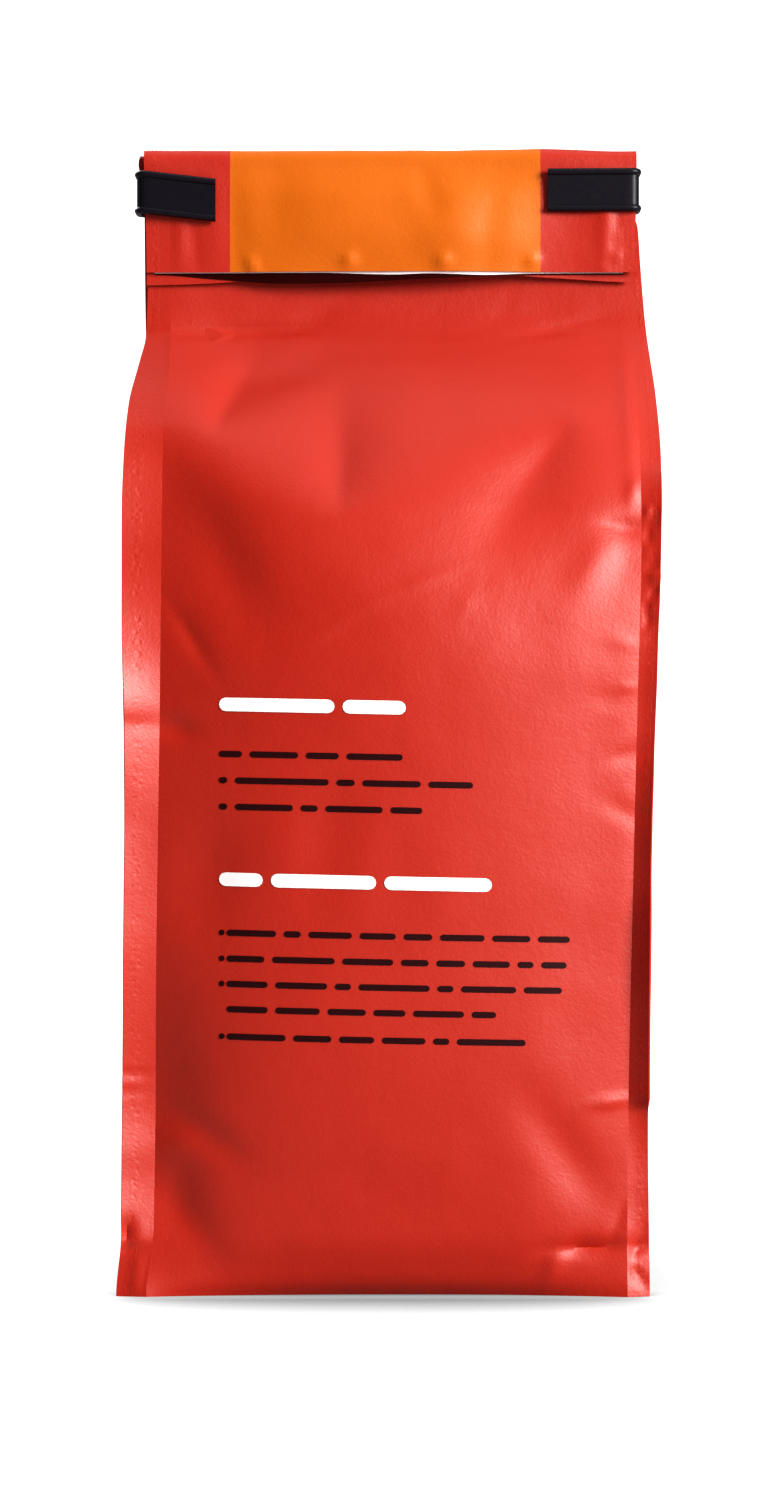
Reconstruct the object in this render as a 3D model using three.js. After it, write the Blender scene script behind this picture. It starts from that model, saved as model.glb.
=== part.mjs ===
// Coffee bag: a side-gusseted pouch with a seal fin down each of its four corners. It stands filled
// on its base. Its flattened neck is folded over once, towards the back panel, and a black tin tie
// lies along the far side of the fold, with its two ends bent round onto the folded flap.
// Millimetres, +Z up. The back panel, with the flap, faces -Y, and the front panel faces +Y.
import * as THREE from "three";
import { mergeGeometries, mergeVertices } from "three/addons/utils/BufferGeometryUtils.js";

// Driving heights of the bag
const TUCK_Z = 128; // the side gussets start to fold inwards
const SHOULDER_Z = 158; // the panels start to lean in
const NECK_Z = 187; // the panels meet, and the neck is flat above
const TOP_Z = 221.8; // the top of the folded-over neck

// The flattened neck: four layers of film, pressed to one stack
const STACK_HALF = 0.8; // half of the stack's thickness
const FOLD_RADIUS = 1.3; // of the stack's middle layer
const FOLD_Z = TOP_Z - FOLD_RADIUS - STACK_HALF;
const FLAP_TILT = THREE.MathUtils.degToRad(4); // the flap stands off the neck by this much
const FLAP_BOW = 1.2; // its lower edge bows out in the middle
const FLAP_LENGTH = 22.0; // the outer sheet, from the end of the fold to its cut edge
const INNER_SHEET_FACE = -0.3; // depth in the stack where the inner sheet ends
const INNER_SHEET_BACK = -0.2; // the inner sheet's other face, where it stands out alone

// Film and fins
const GUSSET_HALF = 32; // half of a side gusset's film, corner to centre crease
const FIN_THICK = 0.5;
const SEAL_GAP = 0.3; // kept between the bag and the tie

// Smooth outlines, as [height, value] from the base up
const LEFT_ROOT_X = [[0, -46.2], [12, -44.9], [60, -44.4], [130, -43.6], [166, -43.6], [177, -42.9], [222, -43]];
const RIGHT_ROOT_X = [[0, 45.3], [36, 45.6], [80, 46.5], [116, 47.4], [150, 48.3], [186, 48.1], [200, 46.4], [222, 46]];
// Each fin's tip: its x, and how far it stands out past the panel's edge, away from the bag's middle
const FINS = {
  nearLeft: {
    tipX: [[0, -51.9], [12, -50.8], [60, -50.4], [100, -50.1], [160, -50.5], [171, -50.1], [180, -48.8],
      [185, -47.6], [200, -47.4], [222, -48.2]],
    out: [[0, 4.6], [14, 2.6], [40, 1.6], [150, 1.4], [172, 0.4], [186, 0], [222, 0]],
  },
  nearRight: {
    tipX: [[0, 49.2], [36, 48.9], [80, 49.8], [116, 50.7], [150, 51.7], [160, 51.6], [172, 51.1], [186, 50.4],
      [200, 49.4], [208, 47.8], [222, 47.8]],
    out: [[0, 1.8], [30, 2.2], [42, 4.8], [148, 4.9], [160, 1.8], [172, 0.3], [186, 0], [222, 0]],
  },
  farLeft: {
    tipX: [[0, -50.4], [20, -50.1], [150, -50.2], [172, -49.6], [186, -48], [222, -48.2]],
    out: [[0, 2.4], [30, 2.6], [150, 2.4], [172, 1], [186, 0], [222, 0]],
  },
  farRight: {
    tipX: [[0, 50.2], [20, 50.4], [110, 51.2], [150, 51.6], [172, 51], [186, 50.2], [200, 49.6], [208, 47.8],
      [222, 47.8]],
    out: [[0, 2.2], [30, 3.6], [140, 4.2], [172, 1], [186, 0], [222, 0]],
  },
};
const CORNER_DEPTH = [[0, 33.6], [6, 32.6], [25, 31.2], [90, 30.8], [146, 30.6], [154, 29.6], [160, 26.8],
  [166, 22], [172, 16.2], [178, 9.8], [183, 4.4], [186, 1.4], [187, STACK_HALF], [222, STACK_HALF]];
const PANEL_BULGE = [[0, -3.4], [2, -2.2], [6, -0.4], [14, 2.2], [32, 4.8], [70, 6.2], [118, 6.2], [144, 5.2],
  [160, 3.6], [172, 2], [182, 0.6], [187, 0], [222, 0]];
const GUSSET_BULGE = [[0, -1.2], [3, 0], [14, 1.6], [50, 2.6], [100, 2.2], [TUCK_Z, 0.6], [142, 0], [222, 0]];
const PANEL_CROWN = 2.4; // exponent of the panels' bulge across their width

// Soft dents pressed into the panels: centre x and z, half length and half width, the turn of the
// length from the x axis in degrees, and the depth, which is negative for a ridge
const NEAR_DENTS = [
  { x: -40, z: 124, long: 30, wide: 7, turn: 90, deep: 1.7 },
  { x: -28, z: 90, long: 9, wide: 6, turn: 80, deep: 0.7 },
  { x: -39, z: 66, long: 14, wide: 5.5, turn: 90, deep: 1.0 },
  { x: -36, z: 33, long: 11, wide: 3.6, turn: -38, deep: 1.1 },
  { x: -38, z: 17, long: 9, wide: 3.6, turn: -62, deep: 1.2 },
  { x: -32, z: 173, long: 11, wide: 3.6, turn: 67, deep: 1.3 },
  { x: -6, z: 157, long: 9, wide: 4.6, turn: 60, deep: 1.0 },
  { x: 24, z: 158, long: 13, wide: 4.6, turn: 43, deep: -0.9 },
  { x: 35, z: 157, long: 13, wide: 4.4, turn: 47, deep: 1.1 },
  { x: 39, z: 9, long: 8, wide: 2.6, turn: 0, deep: 1.2 },
  { x: 37, z: 19, long: 9, wide: 3.8, turn: -42, deep: 0.8 },
];
const FAR_DENTS = [
  { x: 38, z: 118, long: 26, wide: 7, turn: 90, deep: 1.5 },
  { x: -37, z: 96, long: 20, wide: 6, turn: 84, deep: 1.3 },
  { x: 12, z: 158, long: 12, wide: 4.6, turn: -52, deep: 1.1 },
  { x: -20, z: 162, long: 12, wide: 4.4, turn: 58, deep: 1.0 },
  { x: 33, z: 24, long: 12, wide: 4, turn: 40, deep: 1.1 },
  { x: -36, z: 20, long: 10, wide: 4, turn: -50, deep: 1.0 },
];

// How finely each stretch is divided
const PANEL_STEPS = { near: 18, far: 12 };
const GUSSET_STEPS = 8; // even, so that a column runs down the centre crease
const BODY_HEIGHTS = [0, 0.6, 2, 4.5, 8, 12, 16, 20, 25, 30, 36, 42, 50, 58, 67, 76, 85, 94, 103, 112, 120, 128,
  134, 140, 145, 149, 153, 156, 159, 162, 165, 168, 171, 174, 177, 180, 182.5, 184.7, 186.2, 187.5, 192, 200, 210];
const FOLD_STEPS = 8;
const FLAP_STEPS = 5;

// Tin tie: a flat plastic web with a wire in each edge bead, as [distance, value] in order
const TIE_HEIGHT = 8.5;
const TIE_BEAD_RADIUS = 0.7;
const TIE_WEB_HALF = 0.25;
const TIE_LEFT_END_X = -34;
const TIE_RIGHT_END_X = 31.1;
const TIE_TURN_LEFT_X = -49.2; // the middle of the web, where it turns round the bag's edges
const TIE_TURN_RIGHT_X = 48.8;
const TIE_END_DROP = 1.6; // the left end slopes down by this much
const TIE_LEFT_Z = 213.2;
const TIE_RIGHT_Z = 213.7;
const TIE_TURN_RADIUS = 1.3;
const TIE_TURN_STEPS = 4;

const RED_FILM = new THREE.MeshStandardMaterial({ color: 0xd63526, roughness: 0.5, metalness: 0 });
const BLACK_PLASTIC = new THREE.MeshStandardMaterial({ color: 0x1f1c22, roughness: 0.45, metalness: 0 });

/** A smooth function through [position, value] pairs, level past both ends. */
function outline(points) {
  const slope = (i, j) => (points[j][1] - points[i][1]) / (points[j][0] - points[i][0]);
  const last = points.length - 1;
  const tangents = points.map((point, i) => {
    if (i === 0 || i === last) return 0;
    const before = slope(i - 1, i);
    const after = slope(i, i + 1);
    return before * after <= 0 ? 0 : (2 * before * after) / (before + after);
  });
  return (at) => {
    if (at <= points[0][0]) return points[0][1];
    if (at >= points[last][0]) return points[last][1];
    const i = points.findIndex((point) => point[0] > at) - 1;
    const span = points[i + 1][0] - points[i][0];
    const u = (at - points[i][0]) / span;
    const rise = u * u * (3 - 2 * u);
    const leave = u * (1 - u) * (1 - u) * span;
    const arrive = u * u * (u - 1) * span;
    return points[i][1] * (1 - rise) + points[i + 1][1] * rise + tangents[i] * leave + tangents[i + 1] * arrive;
  };
}

/** How far the dents press a panel in at x and z. */
function dentDepth(dents, x, z) {
  return dents.reduce((total, dent) => {
    const turn = THREE.MathUtils.degToRad(dent.turn);
    const along = ((x - dent.x) * Math.cos(turn) + (z - dent.z) * Math.sin(turn)) / dent.long;
    const across = ((z - dent.z) * Math.cos(turn) - (x - dent.x) * Math.sin(turn)) / dent.wide;
    return total + dent.deep * Math.exp(-along * along - across * across);
  }, 0);
}

/** A sheet wrapped round on itself: place(column, row) gives its points, counter-clockwise round
 * the path that the rows follow, and an end cap is flattened to section(column, row) to be filled. */
function wrappedSheet(columns, rows, place, section) {
  const sheet = new THREE.PlaneGeometry(1, 1, columns, rows - 1);
  const points = sheet.attributes.position;
  for (let i = 0; i < points.count; i++) {
    const row = rows - 1 - Math.floor(i / (columns + 1));
    points.setXYZ(i, ...place((i % (columns + 1)) % columns, row));
  }
  // The outline to fill is bowed very slightly, because the middle points of a straight run are left out
  const bowed = ([u, v]) => new THREE.Vector2(u, v + u * u * 1e-4);
  const ring = Array.from({ length: columns }, (_, column) => column);
  const caps = [0, rows - 1].map((row) => {
    const faces = THREE.ShapeUtils.triangulateShape(ring.map((column) => bowed(section(column, row))), []).flat();
    const cap = new THREE.BufferGeometry();
    cap.setFromPoints(ring.map((column) => new THREE.Vector3(...place(column, row))));
    return cap.setIndex(row === 0 ? faces.reverse() : faces);
  });
  const parts = [sheet, ...caps];
  ["uv", "normal"].forEach((name) => sheet.deleteAttribute(name));
  const closed = mergeVertices(mergeGeometries(parts), 1e-3);
  closed.computeVertexNormals();
  return closed;
}

/** The bag's film as a wrapped sheet: body, neck, fold and flap in one piece. */
function bagGeometry() {
  const leftRoot = outline(LEFT_ROOT_X);
  const rightRoot = outline(RIGHT_ROOT_X);
  const fins = Object.entries(FINS).map(([name, { tipX, out }]) => [name, outline(tipX), outline(out)]);
  const cornerDepth = outline(CORNER_DEPTH);
  const panelBulge = outline(PANEL_BULGE);
  const gussetBulge = outline(GUSSET_BULGE);
  const smooth = THREE.MathUtils.smoothstep;
  const mix = THREE.MathUtils.lerp;

  /** A point of the near (side -1) or far (side 1) panel, t from -1 at its left to 1 at its right. */
  function panelPoint(side, t, h) {
    const x = mix(leftRoot(h), rightRoot(h), (t + 1) / 2);
    const crown = 1 - Math.abs(t) ** PANEL_CROWN;
    const dents = dentDepth(side < 0 ? NEAR_DENTS : FAR_DENTS, x, h);
    const dented = dents * (1 - smooth(h, NECK_Z - 6, NECK_Z)) * smooth(1 - Math.abs(t), 0, 0.08);
    return [x, side * (cornerDepth(h) + panelBulge(h) * crown - dented)];
  }

  /** A point of the fin on one corner: along runs from 0 at its root to 1 at its tip, on the
   * panel's face or, if back is true, on the gusset's. */
  function finPoint(side, right, along, back, h) {
    const [, tipX, out] = fins.find(([name]) => name === `${side < 0 ? "near" : "far"}${right ? "Right" : "Left"}`);
    const root = [right ? rightRoot(h) : leftRoot(h), side * cornerDepth(h)];
    const arm = [tipX(h) - root[0], side * out(h)];
    const thick = back ? Math.min(FIN_THICK, cornerDepth(h) * 0.6) / Math.hypot(...arm) : 0;
    const towardsMiddle = -side * Math.sign(arm[0]);
    return [
      root[0] + arm[0] * along - arm[1] * towardsMiddle * thick,
      root[1] + arm[1] * along + arm[0] * towardsMiddle * thick,
    ];
  }

  /** A point of a side gusset, q from 0 at its near corner to 1 at its far corner. */
  function gussetPoint(right, q, h) {
    const near = finPoint(-1, right, 0, true, h);
    const far = finPoint(1, right, 0, true, h);
    const depth = cornerDepth(h);
    const n = mix(near[1], far[1], q);
    const tuckHalf = depth * smooth(h, TUCK_Z, SHOULDER_Z);
    const slack = Math.max(GUSSET_HALF - depth, 0);
    const tuck = Math.min(Math.sqrt(slack * (slack + 2 * tuckHalf)), 12 * Math.max(depth - STACK_HALF, 0));
    const inwards = tuckHalf > 0 ? tuck * Math.max(0, 1 - Math.abs(n) / tuckHalf) : 0;
    const outwards = gussetBulge(h) * (1 - (2 * q - 1) ** 2);
    return [mix(near[0], far[0], q) + (right ? 1 : -1) * (outwards - inwards), n];
  }

  const columns = [];
  const finColumns = (side, right, out) =>
    (out ? [[0.5, false], [1, false], [1, true], [0.5, true]] : [[0.5, true], [1, true], [1, false], [0.5, false]])
      .forEach(([along, back]) => columns.push((h) => finPoint(side, right, along, back, h)));
  const gussetColumns = (right) => {
    for (let k = 0; k <= GUSSET_STEPS; k++) {
      const q = right ? k / GUSSET_STEPS : 1 - k / GUSSET_STEPS;
      columns.push((h) => gussetPoint(right, q, h));
    }
  };
  const panelColumns = (side, steps) => {
    for (let k = 0; k <= steps; k++) {
      const t = -side * ((2 * k) / steps - 1);
      columns.push((h) => panelPoint(side, t, h));
    }
  };
  panelColumns(-1, PANEL_STEPS.near);
  finColumns(-1, true, true);
  gussetColumns(true);
  finColumns(1, true, false);
  panelColumns(1, PANEL_STEPS.far);
  finColumns(1, false, true);
  gussetColumns(false);
  finColumns(-1, false, false);

  /** Bends the flat, upright stack over at the top: h runs up the neck, round the fold and down. */
  function bend(x, n, h) {
    const turned = Math.PI - FLAP_TILT;
    if (h <= FOLD_Z) return [x, n, h];
    const radius = FOLD_RADIUS + n;
    const angle = Math.min((h - FOLD_Z) / FOLD_RADIUS, turned);
    const down = Math.max(h - FOLD_Z - turned * FOLD_RADIUS, 0);
    const bow = FLAP_BOW * (down / FLAP_LENGTH) ** 2 * (1 - (x / 48) ** 2);
    return [
      x,
      -FOLD_RADIUS + radius * Math.cos(angle) - down * Math.sin(FLAP_TILT) - bow,
      FOLD_Z + radius * Math.sin(angle) - down * Math.cos(FLAP_TILT),
    ];
  }

  const foldEnd = FOLD_Z + (Math.PI - FLAP_TILT) * FOLD_RADIUS;
  const flapEnd = foldEnd + FLAP_LENGTH;
  const heights = [
    ...BODY_HEIGHTS,
    ...Array.from({ length: FOLD_STEPS + 1 }, (_, k) => mix(FOLD_Z, foldEnd, k / FOLD_STEPS)),
    ...Array.from({ length: FLAP_STEPS }, (_, k) => mix(foldEnd, flapEnd, (k + 1) / FLAP_STEPS)),
  ];
  // Two more rows step back to the inner sheet, which stands out past the outer one
  const rows = heights.map((h) => ({ h, inner: false }));
  rows.push({ h: flapEnd, inner: true }, { h: flapEnd, inner: true, last: true });
  const innerReach = (x) => 1.4 + 1.4 * (x / 48) ** 2;

  function section(column, row) {
    const { h, inner } = rows[row];
    const [x, n] = columns[column](h);
    const share = (INNER_SHEET_BACK - INNER_SHEET_FACE) / (STACK_HALF - INNER_SHEET_FACE);
    return [x, inner && n > INNER_SHEET_FACE ? INNER_SHEET_FACE + (n - INNER_SHEET_FACE) * share : n];
  }
  function place(column, row) {
    const [x, n] = section(column, row);
    return bend(x, n, rows[row].h + (rows[row].last ? innerReach(x) : 0));
  }
  return wrappedSheet(columns.length, rows.length, place, section);
}

/** The middle line of the tie's web, seen from above, with the height of its centre. */
function tiePath() {
  const nearY = -(2 * FOLD_RADIUS + STACK_HALF) - 9 * Math.sin(FLAP_TILT) - SEAL_GAP - TIE_BEAD_RADIUS - 0.2;
  const farY = STACK_HALF + SEAL_GAP + TIE_BEAD_RADIUS;
  const path = [[TIE_LEFT_END_X, nearY, TIE_LEFT_Z - TIE_END_DROP]];
  /** Turns the path's direction by a quarter from start, round a corner at x and y. */
  const turn = (x, y, start, z) => {
    for (let k = 0; k <= TIE_TURN_STEPS; k++) {
      const angle = start - (Math.PI / 2) * (k / TIE_TURN_STEPS);
      path.push([x + TIE_TURN_RADIUS * Math.cos(angle), y + TIE_TURN_RADIUS * Math.sin(angle), z]);
    }
  };
  const leftX = TIE_TURN_LEFT_X + TIE_TURN_RADIUS;
  const rightX = TIE_TURN_RIGHT_X - TIE_TURN_RADIUS;
  turn(leftX, nearY + TIE_TURN_RADIUS, -Math.PI / 2, TIE_LEFT_Z);
  turn(leftX, farY - TIE_TURN_RADIUS, Math.PI, TIE_LEFT_Z);
  turn(rightX, farY - TIE_TURN_RADIUS, Math.PI / 2, TIE_RIGHT_Z);
  turn(rightX, nearY + TIE_TURN_RADIUS, 0, TIE_RIGHT_Z);
  path.push([TIE_RIGHT_END_X, nearY, TIE_RIGHT_Z - 0.1]);
  return path;
}

/** The tie as a wrapped sheet: two round beads joined by a thin web, carried along its path. */
function tieGeometry() {
  const beadCentre = TIE_HEIGHT / 2 - TIE_BEAD_RADIUS;
  const opening = Math.asin(TIE_WEB_HALF / TIE_BEAD_RADIUS);
  const profile = [1, -1].flatMap((side) =>
    Array.from({ length: 8 }, (_, k) => {
      const angle = -Math.PI / 2 + opening + ((2 * Math.PI - 2 * opening) * k) / 7;
      return [TIE_BEAD_RADIUS * Math.cos(angle) * side, (beadCentre + TIE_BEAD_RADIUS * Math.sin(angle)) * side];
    }),
  );
  const path = tiePath();
  const across = path.map((point, i) => {
    const before = path[Math.max(i - 1, 0)];
    const after = path[Math.min(i + 1, path.length - 1)];
    const along = new THREE.Vector2(after[0] - before[0], after[1] - before[1]).normalize();
    return [-along.y, along.x];
  });
  const place = (column, row) => [
    path[row][0] + across[row][0] * profile[column][0],
    path[row][1] + across[row][1] * profile[column][0],
    path[row][2] + profile[column][1],
  ];
  return wrappedSheet(profile.length, path.length, place, (column) => profile[column]);
}

const bag = new THREE.Mesh(bagGeometry(), RED_FILM);
bag.name = "bag";
const tinTie = new THREE.Mesh(tieGeometry(), BLACK_PLASTIC);
tinTie.name = "tin_tie";

const coffeeBag = new THREE.Group();
coffeeBag.add(bag, tinTie);
const centre = new THREE.Box3().setFromObject(coffeeBag).getCenter(new THREE.Vector3());
coffeeBag.position.set(-centre.x, -centre.y, 0);

export default coffeeBag;
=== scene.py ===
"""A filled coffee bag seen from its back, with its neck folded over and held by a tin tie.

The bag's film is one sheet wrapped round the bag's path, which goes up the body, over the fold and
down the flap. The classes here count in millimetres, in the frame in which the bag was drawn up,
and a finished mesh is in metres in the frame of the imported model.
"""

import logging
import math
from collections.abc import Collection, Iterable, Sequence
from dataclasses import dataclass
from enum import Enum, IntEnum

import bmesh
import bpy
import numpy as np
from bpy.types import ID, Material, Node, NodeSocket as Socket, NodeTree as Tree, Object
from mathutils import Matrix, Vector


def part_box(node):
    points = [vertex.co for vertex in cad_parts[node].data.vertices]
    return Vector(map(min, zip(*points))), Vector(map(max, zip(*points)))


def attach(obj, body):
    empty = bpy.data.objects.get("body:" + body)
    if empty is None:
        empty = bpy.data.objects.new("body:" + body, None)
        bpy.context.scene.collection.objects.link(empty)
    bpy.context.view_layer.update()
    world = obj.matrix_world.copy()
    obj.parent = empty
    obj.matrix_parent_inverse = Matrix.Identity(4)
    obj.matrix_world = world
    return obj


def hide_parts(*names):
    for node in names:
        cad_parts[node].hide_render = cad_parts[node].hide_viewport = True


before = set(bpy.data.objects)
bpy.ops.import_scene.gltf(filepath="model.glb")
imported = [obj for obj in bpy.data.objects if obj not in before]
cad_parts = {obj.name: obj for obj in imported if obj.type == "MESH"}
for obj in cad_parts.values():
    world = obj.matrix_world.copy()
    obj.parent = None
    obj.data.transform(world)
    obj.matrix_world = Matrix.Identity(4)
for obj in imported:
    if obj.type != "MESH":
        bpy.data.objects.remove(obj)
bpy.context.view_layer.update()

Array = np.ndarray
Pair = tuple[float, float]
LOG = logging.getLogger("coffee_bag")
MM = 0.001
BODY = "root"

# The photograph's view: a level camera, straight in front of the near panel
VIEW_DISTANCE = 933.0
VIEW_HEIGHT = 103.9
LENS = 113.7
SENSOR_WIDTH = 36.0
CLIP_END = 20.0

# Edges that turn more than this stay sharp, and points closer than this become one
SHARP_ANGLE = math.radians(55.0)
MERGE_DISTANCE = 1e-4

# How a dent's depth falls off from its line: how steep its sides are, how round its bottom is, and
# what brings its deepest place to 1
CREASE_STEEP, CREASE_ROUND, CREASE_PEAK = 3.0, 0.06, 0.245
STEP_STEEP, STEP_ROUND, STEP_PEAK = 2.6, 0.02, 0.14

# How a cone or bowl opens from its point: its width there, how soon it gets deep, how it ends
POINT_WIDTH, POINT_RUN, POINT_PEAK, POINT_FADE = 0.3, 0.2, 0.65, 0.5

# Half sizes of a seal's kinks, in millimetres, at least and at most
KINK_LONG = (0.8, 1.5)
KINK_WIDE = (0.5, 0.8)


# Shapes: outlines, dents and random relief


def smooth(value: Array, low: float, high: float) -> Array:
    """Rises smoothly from 0 at low to 1 at high.

    Args:
        value: Where to read the rise.
        low: Where it starts.
        high: Where it ends.

    Returns:
        The rise, from 0 to 1.
    """
    share = np.clip((value - low) / (high - low), 0.0, 1.0)
    return share * share * (3.0 - 2.0 * share)


@dataclass(frozen=True)
class Outline:
    """A smooth curve through points of (position, value), level past both ends."""

    points: tuple[Pair, ...]

    def at(self, position: Array | float) -> Array:
        """Reads the curve.

        Args:
            position: Where to read it, in the points' own unit.

        Returns:
            The curve's value at each position.
        """
        knots, values = np.array(self.points).T
        slopes = np.diff(values) / np.diff(knots)
        tangents = np.zeros_like(knots)
        turning = slopes[:-1] * slopes[1:] <= 0
        total = np.where(turning, 1.0, slopes[:-1] + slopes[1:])
        tangents[1:-1] = np.where(turning, 0.0, 2.0 * slopes[:-1] * slopes[1:] / total)
        place = np.clip(position, knots[0], knots[-1])
        i = np.clip(np.searchsorted(knots, place, side="right") - 1, 0, len(knots) - 2)
        span = knots[i + 1] - knots[i]
        u = (place - knots[i]) / span
        rise = u * u * (3.0 - 2.0 * u)
        leave = u * (1.0 - u) ** 2 * span
        arrive = u * u * (u - 1.0) * span
        level = values[i] * (1.0 - rise) + values[i + 1] * rise
        return level + tangents[i] * leave + tangents[i + 1] * arrive


class Press(Enum):
    """How a dent in the film is shaped across its width."""

    SOFT = "a rounded hollow"
    CREASE = "a sharp line with straight sides"
    STEP = "a sharp line, steep on the side that its turn has on the left"
    CONE = "a crease that opens out from a point along its turn"
    BOWL = "a rounded hollow that opens out from a point along its turn"


@dataclass(frozen=True)
class Dent:
    """A dent in a panel: a place, half sizes, a turn from the x axis in degrees and a depth.

    A negative depth makes a ridge. A cone's or bowl's place is its point, and it is deepest at its
    length.
    """

    x: float
    z: float
    long: float
    wide: float
    turn: float
    deep: float
    press: Press = Press.SOFT

    def depth(self, x: Array, z: Array) -> Array:
        """How far the dent goes in.

        Args:
            x: Positions across the panel.
            z: Positions up the panel.

        Returns:
            The depth at each position.
        """
        turn = math.radians(self.turn)
        along = ((x - self.x) * math.cos(turn) + (z - self.z) * math.sin(turn)) / self.long
        across = ((z - self.z) * math.cos(turn) - (x - self.x) * math.sin(turn)) / self.wide
        fade = np.exp(-along * along)
        if self.press in (Press.CONE, Press.BOWL):
            along = np.maximum(along, 0.0)
            across = across / (POINT_WIDTH + (1.0 - POINT_WIDTH) * along)
            fade = along * along / (along + POINT_RUN)
            fade = fade * np.exp(POINT_PEAK - POINT_FADE * along * along)
        if self.press in (Press.SOFT, Press.BOWL):
            profile = np.exp(-across * across)
        elif self.press in (Press.CREASE, Press.CONE):
            profile = np.exp(-np.sqrt(across * across * CREASE_STEEP + CREASE_ROUND) + CREASE_PEAK)
        else:
            steep = np.where(across > 0, STEP_STEEP, 1.0)
            profile = np.exp(-steep * np.sqrt(across * across + STEP_ROUND) + STEP_PEAK)
        return self.deep * fade * profile


def crumples(x: Pair, z: Pair, deep: float, count: int, seed: int) -> tuple[Dent, ...]:
    """Makes a seal's small random kinks, between two places across it and two along it."""
    draw = np.random.default_rng(seed).uniform
    return tuple(
        Dent(draw(*x), draw(*z), draw(*KINK_LONG), draw(*KINK_WIDE), draw(0.0, 180.0),
             draw(-deep, deep))
        for _ in range(count)
    )


@dataclass(frozen=True)
class Relief:
    """Soft random relief of a handled film: random heights on a lattice, joined up."""

    spacing: float
    height: float
    seed: int
    lattice_size: int = 64
    shift: Pair = (17.3, 5.1)

    def at(self, x: Array, z: Array) -> Array:
        """Reads the relief.

        Args:
            x: Positions across the film.
            z: Positions up the film.

        Returns:
            The height at each position.
        """
        n = self.lattice_size
        lattice = np.random.default_rng(self.seed).normal(size=(n, n))
        u, v = x / self.spacing + self.shift[0], z / self.spacing + self.shift[1]
        i, j = np.floor(u).astype(int), np.floor(v).astype(int)
        a, b = smooth(u - i, 0.0, 1.0), smooth(v - j, 0.0, 1.0)
        i, j, after, above = i % n, j % n, (i + 1) % n, (j + 1) % n
        near = lattice[i, j] * (1.0 - a) + lattice[after, j] * a
        far = lattice[i, above] * (1.0 - a) + lattice[after, above] * a
        return self.height * (near * (1.0 - b) + far * b)


# Meshes


def grid_mesh(name: str, points: Array, closed: bool, paint: Array | None = None,
              seal: Array | None = None, seams: Collection[int] = (),
              thickness: float = 0.0) -> Object:
    """Makes a grid and lays its points in place.

    Args:
        name: The piece's name.
        points: Places in millimetres, by row, column and axis.
        closed: Whether the columns go all the way round, with both ends filled.
        paint: Material numbers, by row and column of the faces.
        seal: How far out each point is on a heat seal, from 0 to 1, by row and column.
        seams: The columns along which the film is creased sharply.
        thickness: What a flat grid is thickened by, in millimetres.

    Returns:
        The new object, at the origin.
    """
    rows, columns = points.shape[:2]
    bm = bmesh.new()
    across = columns if closed else columns - 1
    bmesh.ops.create_grid(bm, x_segments=across, y_segments=rows - 1, size=1.0)
    bm.verts.ensure_lookup_table()
    seals = bm.verts.layers.float.new("seal")
    spots = {}
    for vert in bm.verts:
        u, v = (vert.co.x + 1.0) / 2.0, (vert.co.y + 1.0) / 2.0
        spots[vert] = (round(v * (rows - 1)), round(u * across))
    for face in bm.faces:
        face.smooth = True
        if paint is not None:
            row = min(spots[vert][0] for vert in face.verts)
            column = min(spots[vert][1] for vert in face.verts)
            face.material_index = int(paint[row, column])
    for edge in bm.edges:
        ends = [spots[vert][1] % columns for vert in edge.verts]
        if ends[0] == ends[1] and ends[0] in seams:
            edge.smooth = False
    for vert, (row, column) in spots.items():
        vert.co = Vector(points[row, column % columns])
        if seal is not None:
            vert[seals] = float(seal[row, column % columns])
    if closed:
        bmesh.ops.remove_doubles(bm, verts=bm.verts, dist=MERGE_DISTANCE)
        rim = [edge for edge in bm.edges if edge.is_boundary]
        caps = bmesh.ops.holes_fill(bm, edges=rim, sides=0)["faces"]
        bmesh.ops.triangulate(bm, faces=caps)
    elif thickness:
        bmesh.ops.solidify(bm, geom=bm.faces[:], thickness=thickness)
    bmesh.ops.recalc_face_normals(bm, faces=bm.faces)
    return mesh_object(name, bm)


def mesh_object(name: str, bm: bmesh.types.BMesh) -> Object:
    """Turns millimetres to metres and links the mesh to the scene.

    Args:
        name: The piece's name.
        bm: The mesh, which is freed.

    Returns:
        The new object, at the origin.
    """
    bmesh.ops.transform(bm, matrix=Matrix.Scale(MM, 4), verts=bm.verts)
    mesh = bpy.data.meshes.new(name)
    bm.to_mesh(mesh)
    bm.free()
    creased = [edge.index for edge in mesh.edges if edge.use_edge_sharp]
    mesh.set_sharp_from_angle(angle=SHARP_ANGLE)
    for index in creased:
        mesh.edges[index].use_edge_sharp = True
    return put(name, mesh)


def put(name: str, data: ID) -> Object:
    """Puts a mesh, light or camera into the scene.

    Args:
        name: The object's name.
        data: What it shows.

    Returns:
        The new object, at the origin.
    """
    made = bpy.data.objects.new(name, data)
    bpy.context.scene.collection.objects.link(made)
    return made


# The bag


class Side(IntEnum):
    """The sides of the bag, by the sign of their y."""

    NEAR = -1
    FAR = 1


class Part(Enum):
    """What a column of the film's grid belongs to."""

    PANEL = "panel"
    FIN = "fin"
    GUSSET = "gusset"


@dataclass(frozen=True)
class Column:
    """One column of the film: its part, side and place across the part.

    Across runs from -1 to 1 over a panel, from 0 at the root to 1 at the tip of a fin, and from 0
    at the near corner to 1 at the far corner of a gusset. Back is the fin's face to the gusset.
    """

    part: Part
    side: Side
    right: bool
    across: float
    back: bool = False


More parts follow.
